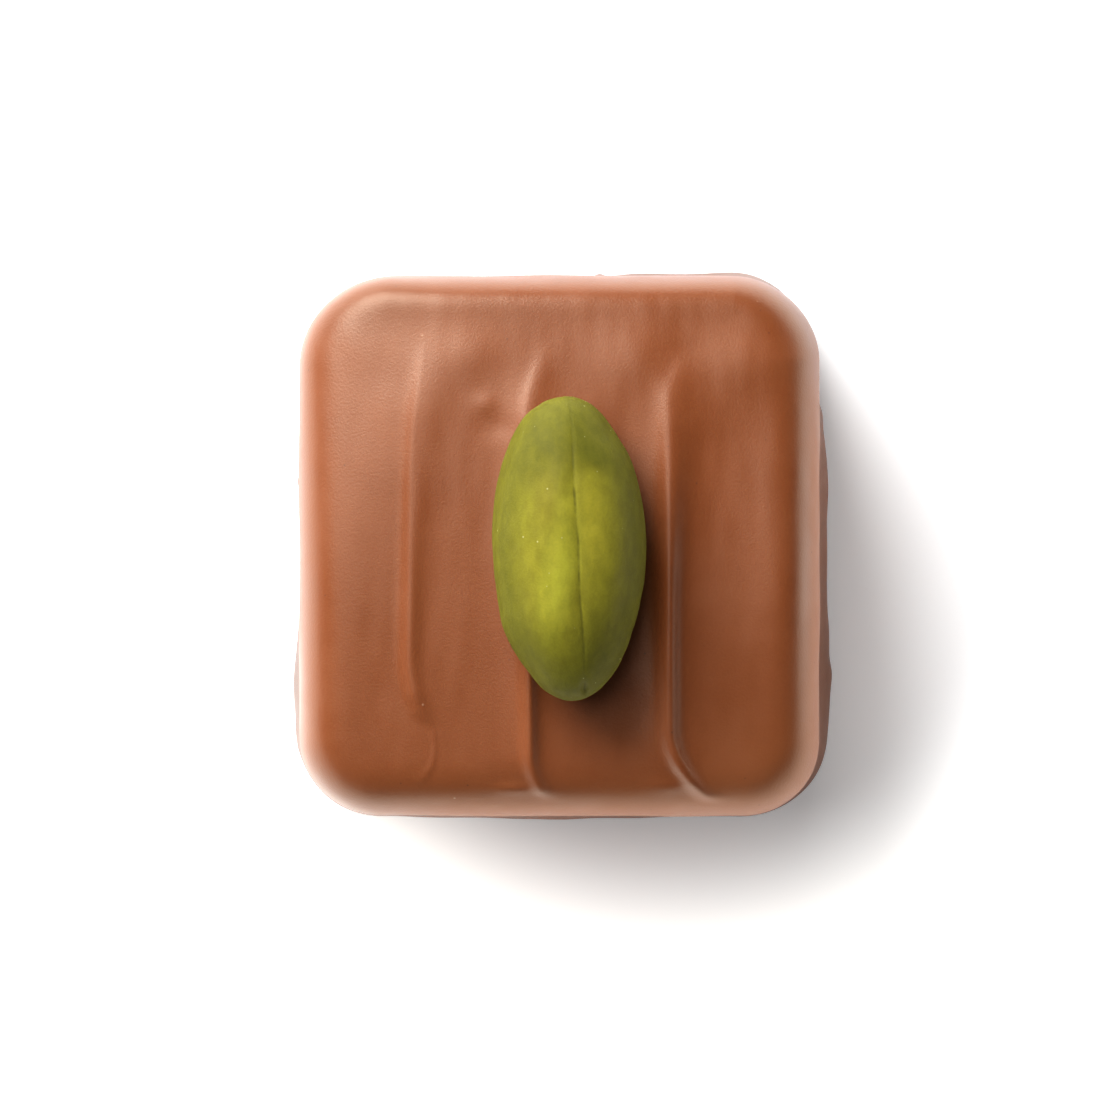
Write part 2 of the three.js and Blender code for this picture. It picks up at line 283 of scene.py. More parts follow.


# Milk chocolate: clouded and faintly streaked, with fine specks, painted light over its lower part and its
# right and lower edges, and painted shade over its upper part, its upper edge and its walls
def makeChocolate():
    material, tree, shader, place = newMaterial("milkChocolate")
    alongX, alongY, height = addParts(tree, place)
    mottle = addGroup(tree, mottleGroup, place, chocolate["mottle"]).outputs
    drag = addNoise(tree, place, chocolate["dragPerMetre"], chocolate["dragStretch"])
    tone = addMath(tree, "MULTIPLY_ADD", mottle["Clouds"], chocolate["cloudTone"], chocolate["evenTone"])
    tone = addMath(tree, "MULTIPLY_ADD", addRange(tree, drag, 0.35, 0.65), chocolate["dragTone"], tone)
    tone = addMath(tree, "MULTIPLY_ADD", mottle["Grain"], chocolate["grainTone"], tone)
    # Painted light: lighter towards -Y; painted shade: darker towards the upper edge
    lower = addRange(tree, alongY, *metres(*chocolate["paintedLightLowerMm"]), chocolate["paintedLightLower"], 0)
    upper = addRange(tree, alongY, *metres(*chocolate["paintedShadeUpperMm"]), 0, chocolate["paintedShadeUpper"])
    tone = addMath(tree, "ADD", addMath(tree, "ADD", tone, lower), upper)
    colour = addMix(tree, tone, chocolate["deepColour"], chocolate["lightColour"])

    across = addMath(tree, "SUBTRACT", alongX, alongY)
    # Painted light: paler over the right and lower edges, where X less Y is large; the same mask makes them
    # rougher
    setIn = addRange(tree, height, *metres(*chocolate["edgeTopMm"]), 1, 0)
    band = addRange(tree, height, *metres(*chocolate["edgeEndMm"]), chocolate["edgeRest"], 1)
    band = addMath(tree, "MULTIPLY", setIn, band)
    rightLowerEdge = addRange(tree, across, *metres(*chocolate["paintedLightAcrossMm"]))
    rightLowerEdge = addMath(tree, "MULTIPLY", band, rightLowerEdge)
    # Painted shade: darker over the upper edge
    upperEdge = addRange(tree, alongY, *metres(*chocolate["paintedShadeAlongMm"]))
    upperEdge = addMath(tree, "MULTIPLY", band, upperEdge)
    # Painted shade: the walls darker, most on the lit side at -X and +Y
    wall = addRange(tree, height, *metres(*chocolate["wallHeightMm"]), 1, 0)
    wallSide = addRange(tree, across, *metres(*chocolate["wallAcrossMm"]), *chocolate["wallShares"])
    colour = addMix(tree, addMath(tree, "MULTIPLY", wall, wallSide), colour, chocolate["paintedShadeWall"])
    colour = addMix(tree, rightLowerEdge, colour, chocolate["paintedLightEdge"])
    colour = addMix(tree, upperEdge, colour, chocolate["paintedShadeEdge"])

    dark = addGroup(tree, specksGroup, place, chocolate["darkSpecks"]).outputs[0]
    pale = addGroup(tree, specksGroup, place, chocolate["paleSpecks"]).outputs[0]
    darkShare = addRange(tree, dark, 0.2, 0.8, 0, chocolate["darkShare"])
    paleShare = addRange(tree, pale, 0.2, 0.8, 0, chocolate["paleShare"])
    colour = addMix(tree, darkShare, colour, chocolate["darkSpeck"])
    colour = addMix(tree, paleShare, colour, chocolate["paleSpeck"])
    tree.links.new(colour, shader.inputs["Base Color"])

    rough = addRange(tree, mottle["Clouds"], 0, 1, *chocolate["roughness"])
    rough = addMath(tree, "MULTIPLY_ADD", rightLowerEdge, chocolate["edgeRougher"], rough)
    tree.links.new(rough, shader.inputs["Roughness"])
    bumps = addMath(tree, "MULTIPLY", mottle["Grain"], chocolate["grainHeightMm"] * metresPerMm)
    bumps = addMath(tree, "MULTIPLY_ADD", pale, chocolate["speckHeightMm"] * metresPerMm, bumps)
    addBumps(tree, shader, bumps)

    shader.inputs["IOR"].default_value = 1.5
    shader.inputs["Specular Tint"].default_value = chocolate["glossTint"]
    shader.inputs["Subsurface Weight"].default_value = chocolate["subsurface"]
    shader.inputs["Subsurface Radius"].default_value = chocolate["subsurfaceMm"]
    shader.inputs["Subsurface Scale"].default_value = metresPerMm
    return material


# The body's sizes in millimetres
body = {
    "plateau": 15.5,  # level of the top, before its crown and its ridges
    "rimX": -0.15,  # the rim is where shoulder and wall meet
    "rimHalfWidth": 12.65,
    "rimHalfDepth": 13.15,
    "cornersUpper": (4.6, 4.2),  # the corners' radii at -X and at +X, along the +Y side
    "cornersLower": (4.0, 3.7),
    "shoulderWidth": 3.0,  # how far in from the rim the shoulder's round starts
    "shoulderHeight": 5.1,
    "shoulderPower": 3.5,  # 2 would be a quarter of an ellipse, more is tighter at the bend
    "shoulderDome": 0.25,
    "shoulderSamples": 600,
    "softer": -1.0,  # what the shoulder's width gains along the +Y side
    "softerCorner": 0.5,  # and at the corner at +X +Y
    "crownDropX": 0.9,  # how far the top falls towards its edges
    "crownDropY": 1.1,
    "crownPower": 2.1,
    "draft": 0.1,  # how far the wall leans out on its way down
    "wave": 0.05,
    "waves": 7,
    "footSpread": 0.18,  # how far the foot stands out from the wall
    "footHeight": 2.4,
    "footUneven": 0.7,
    "footWaves": 3,
    "footFade": 1.5,
    "soleRound": 0.35,
    "topUneven": {"height": 0.03, "wavelength": 4.0, "seed": 3},
    "topFine": {"height": 0.006, "wavelength": 1.1, "seed": 4},
    "topStretch": 0.45,  # under 1 draws them out along the ridges
    "sideUneven": {"height": 0.05, "wavelength": 5.0, "seed": 11},
    "sideBelow": (1.5, 6.0),  # how far below the plateau it sets in
    "footRough": {"height": 0.03, "wavelength": 2.4, "seed": 12},
    "footRoughTo": (1.0, 3.4),
    "columns": 200,
    "rows": 190,
    "gatherPull": 0.4,  # the columns lie closer together at the ridges
    "gatherReach": 0.14,
    "follow": 6,  # a higher power keeps more of the top's grid straight
    "shoulderSteps": 44,
    "wallSteps": 20,
    "soleSteps": 4,
}

# Where the foot stands out or in: the direction from the middle and the width in degrees, and how far
footBulges = [
    (0, 38, 0.42),
    (37, 9, -0.5),
    (62, 14, 0.14),
    (105, 30, -0.06),
    (170, 26, -0.08),
    (208, 14, 0.25),
    (243, 9, 0.12),
    (275, 26, 0.12),
    (330, 14, 0.34),
    (82, 1.3, 0.16),
    (166, 1.5, 0.16),
    (28, 2.0, 0.12),
    (333, 2.4, 0.1),
]

# The three fork ridges. Each crest runs down Y from its top to its bottom, leans a little and bends to +X at
# both ends. Its left flank has a fine and a wide part, and these and the right flank's width change from the
# low end to the high end. A wide part below 0 leaves a faint hollow beside the fine one.
ridges = [
    {
        "x": -7.27, "lean": 0.015, "fineLow": 0.28, "fineHigh": 0.18, "fineReach": 0.42,
        "wideLow": -0.03, "wideHigh": 0.18, "wideReach": 1.9, "rightLow": 0.62, "rightHigh": 2.2,
        "top": 11.2, "topRun": 8.7, "topBend": 0.9, "topFade": 5.0,
        "bottom": -8.9, "bottomRun": 3.6, "bottomBend": 1.1, "bottomFade": 2.0,
    },
    {
        "x": -1.7, "lean": -0.015, "fineLow": 0.3, "fineHigh": 0.15, "fineReach": 0.42,
        "wideLow": 0.2, "wideHigh": 0.24, "wideReach": 1.3, "rightLow": 0.45, "rightHigh": 1.3,
        "top": 10.6, "topRun": 5.4, "topBend": 1.9, "topFade": 5.6,
        "bottom": -12.4, "bottomRun": 2.4, "bottomBend": 1.0, "bottomFade": 0.7,
    },
    {
        "x": 5.17, "lean": 0.0, "fineLow": 0.45, "fineHigh": 0.16, "fineReach": 0.5,
        "wideLow": 0.32, "wideHigh": 0.26, "wideReach": 1.2, "rightLow": 0.5, "rightHigh": 1.5,
        "top": 9.9, "topRun": 3.3, "topBend": 1.5, "topFade": 4.4,
        "bottom": -12.5, "bottomRun": 3.8, "bottomBend": 2.3, "bottomFade": 0.5,
    },
]
ridgeEnds = {"wideFade": 2.4, "changesFrom": -3.0, "changesTo": 8.0}

# Soft swells and hollows of the top: x, y, rise, reach along X, reach along Y
swells = [
    (-9.2, 9.4, 0.05, 1.9, 1.5),
    (-4.2, 9.2, 0.12, 1.3, 1.1),
    (3.4, 8.7, 0.26, 2.0, 2.2),
    (8.8, 8.8, 0.2, 1.7, 1.7),
    (-3.75, 6.85, 0.08, 0.55, 0.5),
    (-3.2, 5.7, -0.07, 0.8, 0.6),
    (-2.3, -11.75, 0.14, 1.1, 0.3),
    (5.2, -11.6, 0.12, 1.1, 0.35),
    (-8.3, 13.6, 0.16, 3.4, 1.8),
    (-14.0, 11.0, -1.0, 5.5, 7.5),
    (13.0, -1.5, 0.75, 3.6, 11),
]

# A burst bubble that left half a fine ring at the lower end of the first ridge
ring = {
    "x": -7.1,
    "y": -9.65,
    "halfWidth": 0.95,
    "halfDepth": 1.65,
    "line": 0.12,
    "height": 0.03,
    "opens": (-0.5, 0.6),  # from where to where along X the ring sets in
}

seat = {"gap": 0.02, "meniscus": 0.3, "tipMeniscus": 0.5, "tipPower": 8, "reach": 0.45}


# Where a ridge's crest is along X: a leaning line whose two ends curve away by the square of the distance
def crestX(ridge, y):
    upper = np.maximum(0, (y - ridge["top"] + ridge["topRun"]) / ridge["topRun"])
    lower = np.maximum(0, (ridge["bottom"] + ridge["bottomRun"] - y) / ridge["bottomRun"])
    bends = ridge["topBend"] * upper**2 + ridge["bottomBend"] * lower**2
    return ridge["x"] + ridge["lean"] * y + bends


# A ridge rises to its crest from the left as the sum of a wide and a fine bell, and falls to the right as
# (1 + (side / width)^2)^-1.5: steep beside the crest, and then flattening out. At the lower end the wide
# part fades first.
def ridgeRelief(ridge, x, y):
    fromTop = 1 - smoothStep(y, ridge["top"] - ridge["topFade"], ridge["top"])
    fromBottom = smoothStep(y, ridge["bottom"], ridge["bottom"] + ridge["bottomFade"])
    upwards = smoothStep(y, ridgeEnds["changesFrom"], ridgeEnds["changesTo"])
    wide = mix(ridge["wideLow"], ridge["wideHigh"], upwards)
    wide = wide * smoothStep(y, ridge["bottom"], ridge["bottom"] + ridgeEnds["wideFade"])
    side = x - crestX(ridge, np.clip(y, ridge["bottom"], ridge["top"]))
    right = mix(ridge["rightLow"], ridge["rightHigh"], upwards)
    fine = mix(ridge["fineLow"], ridge["fineHigh"], upwards)
    rising = wide * bell(side, ridge["wideReach"]) + fine * bell(side, ridge["fineReach"])
    falling = (wide + fine) * (1 + (side / right) ** 2) ** -1.5
    return np.where(side < 0, rising, falling) * fromTop * fromBottom


# The top's level without its relief: a plateau that falls by a power of the way from its middle along X and Y
def crown(x, y):
    power = body["crownPower"]
    fallX = body["crownDropX"] * np.abs(x / body["rimHalfWidth"]) ** power
    fallY = body["crownDropY"] * np.abs(y / body["rimHalfDepth"]) ** power
    return body["plateau"] - fallX - fallY


# What the ridges, the swells, the half ring and a little unevenness add to that level
def relief(x, y):
    level = 0
    for ridge in ridges:
        level = level + ridgeRelief(ridge, x, y)
    for swellX, swellY, rise, reachX, reachY in swells:
        level = level + rise * bell(x - swellX, reachX) * bell(y - swellY, reachY)
    share = np.hypot((x - ring["x"]) / ring["halfWidth"], (y - ring["y"]) / ring["halfDepth"])
    rightHalf = smoothStep(x - ring["x"], *ring["opens"])
    level = level + ring["height"] * bell((share - 1) * ring["halfWidth"], ring["line"]) * rightHalf
    place = np.stack([x, y * body["topStretch"]], axis=-1)
    return level + uneven(place, **body["topUneven"]) + uneven(place, **body["topFine"])


# A place on the top seen from the kernel's middle, as shares of its half length and half width
def onKernel(x, y):
    dx, dy = x - kernel["x"], y - kernel["y"]
    cosTurn, sinTurn = math.cos(kernel["turn"]), math.sin(kernel["turn"])
    along = (dy * cosTurn - dx * sinTurn) / kernel["halfLength"]
    across = (dx * cosTurn + dy * sinTurn) / kernel["halfWidth"] / (1 + kernel["taper"] * along)
    return along, across


# The chocolate's level: it creeps up against the kernel, most at the kernel's two ends, and passes below it
def topLevel(x, y):
    along, across = onKernel(x, y)
    share = np.maximum(np.hypot(along, across), 1e-6)
    contact = math.sqrt(1 - ((kernel["z"] - body["plateau"]) / kernel["halfHeight"]) ** 2)
    distance = np.hypot(x - kernel["x"], y - kernel["y"])
    outside = np.maximum(0, share - contact) * distance / share
    creep = seat["meniscus"] + seat["tipMeniscus"] * (along / share) ** seat["tipPower"]
    opened = crown(x, y) + relief(x, y) + creep * np.exp(-outside / seat["reach"])
    under = kernel["z"] - kernel["halfHeight"] * np.sqrt(np.clip(1 - share**2, 0, 1)) - seat["gap"]
    return np.where(share < 1, np.minimum(opened, under), opened)


# A point of the rim's rounded rectangle for a place (u, v) on the edge of the square from -1 to 1, and its
# way out. The run along each side is straight up to the corner's arc and then follows it to the diagonal.
def rimPoints(u, v):
    upright = np.abs(u) > np.abs(v)
    upper = np.where(u < 0, *body["cornersUpper"])
    lower = np.where(u < 0, *body["cornersLower"])
    corner = np.where(v > 0, upper, lower)
    along = np.where(upright, body["rimHalfDepth"], body["rimHalfWidth"])
    across = np.where(upright, body["rimHalfWidth"], body["rimHalfDepth"])
    straight = along - corner
    run = np.abs(np.where(upright, v, u)) * (straight + corner * math.pi / 4)
    angle = np.maximum(0, run - straight) / corner
    signA = np.sign(np.where(upright, v, u))
    signB = np.sign(np.where(upright, u, v))
    a = (np.minimum(run, straight) + corner * np.sin(angle)) * signA
    b = (across - corner + corner * np.cos(angle)) * signB
    outA, outB = np.sin(angle) * signA, np.cos(angle) * signB
    place = np.stack([np.where(upright, b, a) + body["rimX"], np.where(upright, a, b)], axis=-1)
    out = np.stack([np.where(upright, outB, outA), np.where(upright, outA, outB)], axis=-1)
    return place, out


# How far the wall stands out from the rim at a height and a direction: draft, waves, the foot and its bulges
def wallOut(z, direction):
    down = np.clip(1 - z / (body["plateau"] - profileFall[-1]), 0, 1)
    skirtTop = body["footHeight"] + body["footUneven"] * np.sin(body["footWaves"] * direction + 1)
    skirt = 1 - smoothStep(z, skirtTop - body["footFade"], skirtTop + body["footFade"])
    spread = np.full_like(direction, body["footSpread"])
    for at, width, out in footBulges:
        apart = (np.degrees(direction) - at + 180) % 360 - 180
        spread = spread + out * bell(apart, width)
    wave = body["wave"] * np.sin(body["waves"] * direction)
    return (body["draft"] + wave) * down + spread * skirt


# The shoulder's profile at even steps of its length: how far out it is and how far it has fallen. It falls
# like a superellipse with a little of a parabola, so that the top bends down late and the side leans.
def shoulderProfile():
    out = np.sin(np.linspace(0, np.pi / 2, body["shoulderSamples"]))
    power = body["shoulderPower"]
    fall = body["shoulderHeight"] * (1 - (1 - out**power) ** (1 / power)) + body["shoulderDome"] * out**2
    length = np.append(0, np.cumsum(np.hypot(np.diff(out) * body["shoulderWidth"], np.diff(fall))))
    even = np.linspace(0, length[-1], body["shoulderSteps"] + 1)
    return np.interp(even, length, out), np.interp(even, length, fall)


profileOut, profileFall = shoulderProfile()


# Points of the side for edge places and steps: over the shoulder, down the wall and round under the foot.
# Each is the rim's point moved along its way out, by the profile or the wall's form and some unevenness.
def sidePoints(u, v, step):
    base, out = rimPoints(u, v)
    direction = np.arctan2(base[..., 1], base[..., 0])
    towardsCorner = np.clip(out[..., 0] * out[..., 1] * 2, 0, 1) * (out[..., 0] > 0)
    width = body["shoulderWidth"] + body["softer"] * np.maximum(0, out[..., 1]) ** 2
    width = width + body["softerCorner"] * towardsCorner
    rimZ = crown(base[..., 0], base[..., 1]) - profileFall[-1]
    shoulderStep = np.minimum(step, body["shoulderSteps"]).astype(int)
    wallShare = np.clip((step - body["shoulderSteps"]) / body["wallSteps"], 0, 1)
    soleShare = np.clip((step - body["shoulderSteps"] - body["wallSteps"]) / body["soleSteps"], 0, 1)
    soleTurn = soleShare * math.pi / 2

    outShare = profileOut[shoulderStep]
    shoulderOut = -width * (1 - outShare)
    place = base + out * shoulderOut[..., None]
    plain = crown(place[..., 0], place[..., 1])
    top = topLevel(place[..., 0], place[..., 1])
    shoulderZ = mix(top, plain, outShare**3) - profileFall[shoulderStep]
    wallZ = mix(rimZ, body["soleRound"], np.sin(wallShare * math.pi / 2))
    soleOut = wallOut(np.full_like(direction, body["soleRound"]), direction)
    soleOut = soleOut - body["soleRound"] * (1 - np.cos(soleTurn))
    soleZ = body["soleRound"] * (1 - np.sin(soleTurn))

    onShoulder = step <= body["shoulderSteps"]
    onWall = step <= body["shoulderSteps"] + body["wallSteps"]
    outwards = np.where(onShoulder, shoulderOut, np.where(onWall, wallOut(wallZ, direction), soleOut))
    z = np.where(onShoulder, shoulderZ, np.where(onWall, wallZ, soleZ))
    point = np.stack([base[..., 0], base[..., 1], z], axis=-1)
    rough = uneven(point, **body["sideUneven"]) * smoothStep(body["plateau"] - z, *body["sideBelow"])
    rough = rough + uneven(point, **body["footRough"]) * (1 - smoothStep(z, *body["footRoughTo"]))
    point[..., :2] = base + out * (outwards + rough)[..., None]
    return point


# Draws the columns of the top together at the ridges, and leaves the ends where they are
def atRidges(u):
    placed = u
    for ridge in ridges:
        apart = placed - ridge["x"] / body["rimHalfWidth"]
        pull = body["gatherPull"] * bell(apart, body["gatherReach"])
        placed = placed - pull * apart * (1 - placed**2)
    return placed


# The body's skin: the grid of the top, whose middle is even and whose edge takes the outline's form, then
# ring below ring from the grid's edge to the underside, which closes at one point.
def makeBody():
    columns = atRidges(np.linspace(-1, 1, body["columns"] + 1))
    u, v = np.meshgrid(columns, np.linspace(-1, 1, body["rows"] + 1))
    square = np.maximum(np.maximum(np.abs(u), np.abs(v)), 1e-9)
    edge = sidePoints(u / square, v / square, np.zeros_like(u))
    follow = square ** body["follow"]
    x = mix(u * (body["rimHalfWidth"] - body["shoulderWidth"]), edge[..., 0] * square, follow)
    y = mix(v * (body["rimHalfDepth"] - body["shoulderWidth"]), edge[..., 1] * square, follow)
    top = np.stack([x, y, topLevel(x, y)], axis=-1)
    numbers = np.arange(u.size).reshape(u.shape)

    bottomRow, rightColumn = numbers[0, :-1], numbers[:-1, -1]
    topRow, leftColumn = numbers[-1, :0:-1], numbers[:0:-1, 0]
    rim = np.concatenate([bottomRow, rightColumn, topRow, leftColumn])
    steps = np.arange(1, body["shoulderSteps"] + body["wallSteps"] + body["soleSteps"] + 1)
    rimU, step = np.meshgrid(u.ravel()[rim], steps)
    rimV, _ = np.meshgrid(v.ravel()[rim], steps)
    side = sidePoints(rimU, rimV, step)
    rings = np.vstack([rim, np.arange(side.shape[0] * side.shape[1]).reshape(side.shape[:2]) + u.size])
    rings = np.hstack([rings, rings[:, :1]])
    middle = u.size + side.shape[0] * side.shape[1]
    lowest = rings[-1]

    points = np.vstack([top.reshape(-1, 3), side.reshape(-1, 3), [[0, 0, 0]]])
    sole = np.stack([np.full(len(rim), middle), lowest[1:], lowest[:-1]], axis=-1)
    faces = cells(numbers).tolist() + cells(rings[::-1]).tolist() + sole.tolist()
    return makePiece("chocolateBody", points, faces, makeChocolate())


kernel = {
    "x": 0.28,
    "y": -0.13,
    "z": 17.5,
    "turn": math.radians(1.5),
    "halfWidth": 3.65,
    "halfLength": 7.28,
    "halfHeight": 3.2,
    "taper": 0.035,
    "crests": 0.022,  # three soft edges along the kernel make its section a rounded triangle
    "crestAt": math.radians(94),
    "facets": 0.012,
    "facetCount": 7,
    "facetTwist": 2,
    "sideFade": (-0.2, 0.8),
    "uneven": {"height": 0.035, "wavelength": 2.4, "seed": 21},
    "unevenStretch": 0.35,
    "fine": {"height": 0.010, "wavelength": 0.7, "seed": 22},
    "around": 240,
    "along": 200,
}

# Where the kernel's girth swells or narrows: on which side, where along it, its reach and how far out
kernelBulges = [
    {"side": -1, "along": -0.52, "reach": 0.2, "out": 0.055},
    {"side": -1, "along": -0.82, "reach": 0.08, "out": -0.035},
    {"side": -1, "along": 0.9, "reach": 0.12, "out": 0.05},
    {"side": 1, "along": 0.8, "reach": 0.14, "out": -0.05},
]

# The seam between the two halves, and the notch at the small end
seam = {
    "across": 0.12,
    "lean": -0.06,
    "sway": 0.008,
    "swayWaves": 9,
    "depth": 0.035,
    "width": 0.02,
    "valley": 0.1,
    "valleyDepth": 0.06,
    "valleyEnds": (1.0, 0.2),
    "topFrom": (0.05, 0.35),
}
notch = {"along": -0.925, "length": 0.05, "depth": 0.3, "width": 0.05}

pistachio = {
    "olive": (0.185, 0.165, 0.0120, 1),
    "edge": (0.098, 0.092, 0.0068, 1),
    "edgeShare": 0.9,
    "edgeUpTo": (0.5, 0.97),
    "speck": (0.480, 0.470, 0.200, 1),
    "specks": {"Per metre": 1700.0, "Size": 0.11, "Left out": 0.66},
    "speckShare": 0.6,
    "seamLine": (0.075, 0.070, 0.007, 1),
    "seamShares": (0.08, 0.75),
    "seamHalfMm": (0.02, 0.09),
    "seamBreaksPerMetre": 900.0,
    "mottle": {"Clouds per metre": 420.0, "Grains per metre": 9000.0},
    "streaksPerMetre": 620.0,
    "streakStretch": 0.3,
    "finePerMetre": 1900.0,
    "fineStretch": 0.5,
    "wanderAcrossMm": 1.2,  # how far the patches' outlines wander
    "wanderAlongMm": 0.8,
    "darkest": 0.86,  # what the colour is multiplied by, before the next two are added
    "fineShade": 0.2,
    "grainShade": 0.08,
    "roughness": (0.58, 0.68),
    "gloss": 0.12,
    "subsurface": 0.15,
    "subsurfaceMm": (0.8, 0.8, 0.2),
    "grainHeightMm": 0.010,
    "streakHeightMm": 0.05,
    "speckHeightMm": 0.02,
}

# Where the kernel's colour changes: to which colour and how much, where in mm from the seam and along the
# kernel, how far it reaches both ways, and how far it is turned in degrees
kernelPatches = [
    {"colour": (0.086, 0.079, 0.0040), "share": 0.92, "at": (-1.0, 5.4), "reach": (4.5, 3.6), "turn": 0},
    {"colour": (0.250, 0.240, 0.0420), "share": 0.6, "at": (-1.3, 6.8), "reach": (1.5, 0.7), "turn": 10},
    {"colour": (0.235, 0.205, 0.0150), "share": 0.85, "at": (0.9, 1.5), "reach": (1.3, 3.0), "turn": -3},
    {"colour": (0.052, 0.054, 0.0026), "share": 0.85, "at": (1.1, 4.9), "reach": (0.9, 1.8), "turn": 35},
    {"colour": (0.290, 0.275, 0.0220), "share": 0.9, "at": (-1.1, -1.9), "reach": (1.05, 4.6), "turn": -12},
    {"colour": (0.155, 0.130, 0.0080), "share": 0.7, "at": (-1.3, 2.2), "reach": (0.8, 1.8), "turn": -6},
    {"colour": (0.180, 0.165, 0.0120), "share": 0.7, "at": (-2.6, 1.7), "reach": (0.65, 2.2), "turn": -4},
    {"colour": (0.085, 0.080, 0.0080), "share": 0.7, "at": (0.8, -4.9), "reach": (1.5, 2.4), "turn": 0},
    {"colour": (0.070, 0.065, 0.0045), "share": 0.8, "at": (-3.2, -4.4), "reach": (1.2, 2.0), "turn": 14},
    {"colour": (0.090, 0.082, 0.0080), "share": 0.7, "at": (-1.2, -6.9), "reach": (1.8, 1.0), "turn": 0},
]


# How far to the +X side of the kernel's middle the seam runs, as a share of the half width
def seamAcross(along):
    sway = seam["sway"] * np.sin(seam["swayWaves"] * along + 1)
    return seam["across"] + seam["lean"] * along + sway


# A patch's share in its middle and 0 at its edge: the place is moved, turned and scaled to a unit circle
def addPatch(tree, spot, patch):
    values = {
        "Location": (*patch["at"], 0),
        "Rotation": (0, 0, math.radians(patch["turn"])),
        "Scale": (*patch["reach"], 1),
    }
    moved = addNode(tree, "ShaderNodeMapping", {"vector_type": "TEXTURE"}, values)
    tree.links.new(spot, moved.inputs["Vector"])
    length = addNode(tree, "ShaderNodeVectorMath", {"operation": "LENGTH"})
    tree.links.new(moved.outputs[0], length.inputs[0])
    return addRange(tree, length.outputs["Value"], 0.1, 1.15, patch["share"], 0)


# Peeled pistachio: olive with patches that wander, darker down its sides, a broken seam line and pale specks
def makePistachio():
    material, tree, shader, place = newMaterial("pistachio")
    spot = addNode(tree, "ShaderNodeAttribute", {"attribute_name": "onKernel"})
    fromSeam, along, up = addParts(tree, spot.outputs["Vector"])
    mottle = addGroup(tree, mottleGroup, place, pistachio["mottle"]).outputs
    streak = addNoise(tree, place, pistachio["streaksPerMetre"], pistachio["streakStretch"], 4.0)
    fine = addNoise(tree, place, pistachio["finePerMetre"], pistachio["fineStretch"])

    wanderAcross, wanderAlong = pistachio["wanderAcrossMm"], pistachio["wanderAlongMm"]
    across = addMath(tree, "MULTIPLY_ADD", streak, wanderAcross, -wanderAcross / 2)
    lengthwise = addMath(tree, "MULTIPLY_ADD", mottle["Clouds"], wanderAlong, -wanderAlong / 2)
    wandered = tree.nodes.new("ShaderNodeCombineXYZ")
    tree.links.new(addMath(tree, "ADD", fromSeam, across), wandered.inputs[0])
    tree.links.new(addMath(tree, "ADD", along, lengthwise), wandered.inputs[1])
    colour = pistachio["olive"]
    for patch in kernelPatches:
        share = addPatch(tree, wandered.outputs[0], patch)
        colour = addMix(tree, share, colour, (*patch["colour"], 1))
    edgeShare = addRange(tree, up, *pistachio["edgeUpTo"], pistachio["edgeShare"], 0)
    colour = addMix(tree, edgeShare, colour, pistachio["edge"])

    shade = addRange(tree, fine, 0.3, 0.7)
    shade = addMath(tree, "MULTIPLY_ADD", shade, pistachio["fineShade"], pistachio["darkest"])
    grain = addRange(tree, mottle["Grain"], 0, 1)
    shade = addMath(tree, "MULTIPLY_ADD", grain, pistachio["grainShade"], shade)
    shaded = addNode(tree, "ShaderNodeVectorMath", {"operation": "SCALE"})
    tree.links.new(colour, shaded.inputs[0])
    tree.links.new(shade, shaded.inputs["Scale"])

    nearSeam = addRange(tree, addMath(tree, "ABSOLUTE", fromSeam), *pistachio["seamHalfMm"], 1, 0)
    onTop = addRange(tree, up, 0.1, 0.4)
    breaks = addNoise(tree, place, pistachio["seamBreaksPerMetre"])
    unbroken = addRange(tree, breaks, 0.36, 0.62, *pistachio["seamShares"])
    line = addMath(tree, "MULTIPLY", addMath(tree, "MULTIPLY", nearSeam, onTop), unbroken)
    colour = addMix(tree, line, shaded.outputs[0], pistachio["seamLine"])
    pale = addGroup(tree, specksGroup, place, pistachio["specks"]).outputs[0]
    paleShare = addRange(tree, pale, 0.1, 0.7, 0, pistachio["speckShare"])
    colour = addMix(tree, paleShare, colour, pistachio["speck"])
    tree.links.new(colour, shader.inputs["Base Color"])

    rough = addRange(tree, mottle["Clouds"], 0, 1, *pistachio["roughness"])
    tree.links.new(rough, shader.inputs["Roughness"])
    bumps = addMath(tree, "MULTIPLY", mottle["Grain"], pistachio["grainHeightMm"] * metresPerMm)
    bumps = addMath(tree, "MULTIPLY_ADD", streak, pistachio["streakHeightMm"] * metresPerMm, bumps)
    bumps = addMath(tree, "MULTIPLY_ADD", pale, pistachio["speckHeightMm"] * metresPerMm, bumps)
    addBumps(tree, shader, bumps)
    shader.inputs["IOR"].default_value = 1.4
    shader.inputs["Specular IOR Level"].default_value = pistachio["gloss"]
    shader.inputs["Subsurface Weight"].default_value = pistachio["subsurface"]
    shader.inputs["Subsurface Radius"].default_value = pistachio["subsurfaceMm"]
    shader.inputs["Subsurface Scale"].default_value = metresPerMm
    return material


# Turns points about the kernel's upright line and moves them from its middle to its place on the praline
def intoPlace(points):
    cosTurn, sinTurn = math.cos(kernel["turn"]), math.sin(kernel["turn"])
    x = points[..., 0] * cosTurn - points[..., 1] * sinTurn + kernel["x"]
    y = points[..., 0] * sinTurn + points[..., 1] * cosTurn + kernel["y"]
    return np.stack([x, y, points[..., 2] + kernel["z"]], axis=-1)


